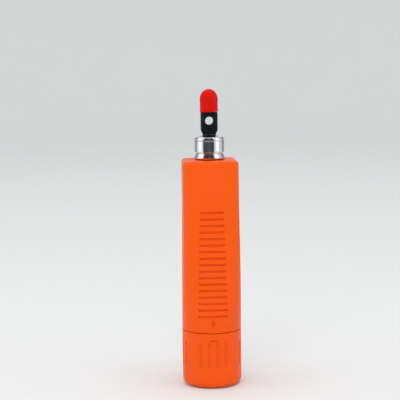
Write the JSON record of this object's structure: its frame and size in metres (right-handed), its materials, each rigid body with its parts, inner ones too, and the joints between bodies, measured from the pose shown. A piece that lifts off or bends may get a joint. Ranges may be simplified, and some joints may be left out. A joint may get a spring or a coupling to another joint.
{
  "type": "punch down tool",
  "caption": "Spring impact punch down tool: squarish grip with cross grooves, chrome nose, flat black blade under a soft tip guard, and a fluted rear knob.",
  "frame": {"origin": "centre of the knob's flat rear end, on the tool's axis; the tool stands upright on it", "axes": "+Z along the tool's axis to the tip, -Y out of the grip's front face, +X to the right of that face"},
  "size_m": [0.032, 0.032, 0.16],
  "materials": {
    "handle_plastic": "satin moulded plastic, orange",
    "chrome_nose": "polished chrome plate",
    "machined_steel": "turned and ground steel",
    "spring_steel": "drawn spring wire",
    "black_blade": "black oxide, satin",
    "soft_guard": "soft red vinyl",
    "urethane": "dark urethane"
  },
  "bodies": {
    "handle": {"handle_body": "handle_plastic", "nose_ferrule": "chrome_nose", "cam_sleeve": "machined_steel", "bumper_ring": "urethane", "stop_ring": "spring_steel"},
    "ram": {"ram": "machined_steel", "blade_cup": "machined_steel", "blade_spring": "spring_steel", "return_spring": "spring_steel"},
    "hammer": {"hammer": "machined_steel", "latch_spring": "spring_steel"},
    "latch": {"latch": "machined_steel"},
    "seat": {"spring_seat": "machined_steel", "main_spring": "spring_steel"},
    "knob": {"knob_shell": "handle_plastic", "knob_end_cap": "handle_plastic", "thrust_washer": "machined_steel"},
    "blade": {"blade_body": "black_blade", "blade_pin": "machined_steel", "seating_tip": "machined_steel", "cut_blade": "machined_steel", "tip_rivet": "machined_steel"},
    "guard": {"tip_guard": "soft_guard"}
  },
  "joints": [
    {"name": "ram_press", "type": "slide", "parent": "handle", "child": "ram", "axis": [0, 0, -1], "range_m": [0, 0.011], "stiffness_N_per_m": 500, "springref_m": -0.01},
    {"name": "hammer_cock", "type": "slide", "parent": "handle", "child": "hammer", "axis": [0, 0, -1], "range_m": [0, 0.011], "deforming": ["main_spring"]},
    {"name": "latch_shift", "type": "slide", "parent": "hammer", "child": "latch", "axis": [-1, 0, 0], "range_m": [0, 0.0013]},
    {"name": "seat_travel", "type": "slide", "parent": "handle", "child": "seat", "axis": [0, 0, -1], "range_m": [0, 0.003]},
    {"name": "knob_turn", "type": "hinge", "parent": "seat", "child": "knob", "pos_m": [0, 0, 0.015], "axis": [0, 0, -1], "range_deg": [0, 540]},
    {"name": "blade_twist", "type": "hinge", "parent": "ram", "child": "blade", "pos_m": [0, 0, 0.1292], "axis": [0, 0, 1], "range_deg": [0, 90]},
    {"name": "guard_pull", "type": "slide", "parent": "blade", "child": "guard", "axis": [0, 0, 1], "range_m": [0, 0.02]}
  ],
  "couplings": [
    {"joint": "hammer_cock", "follows": "ram_press", "ratio": 1},
    {"joint": "latch_shift", "follows": "ram_press", "ratio": 0.118},
    {"joint": "knob_turn", "follows": "seat_travel", "rad_per_m": 3141.6}
  ]
}
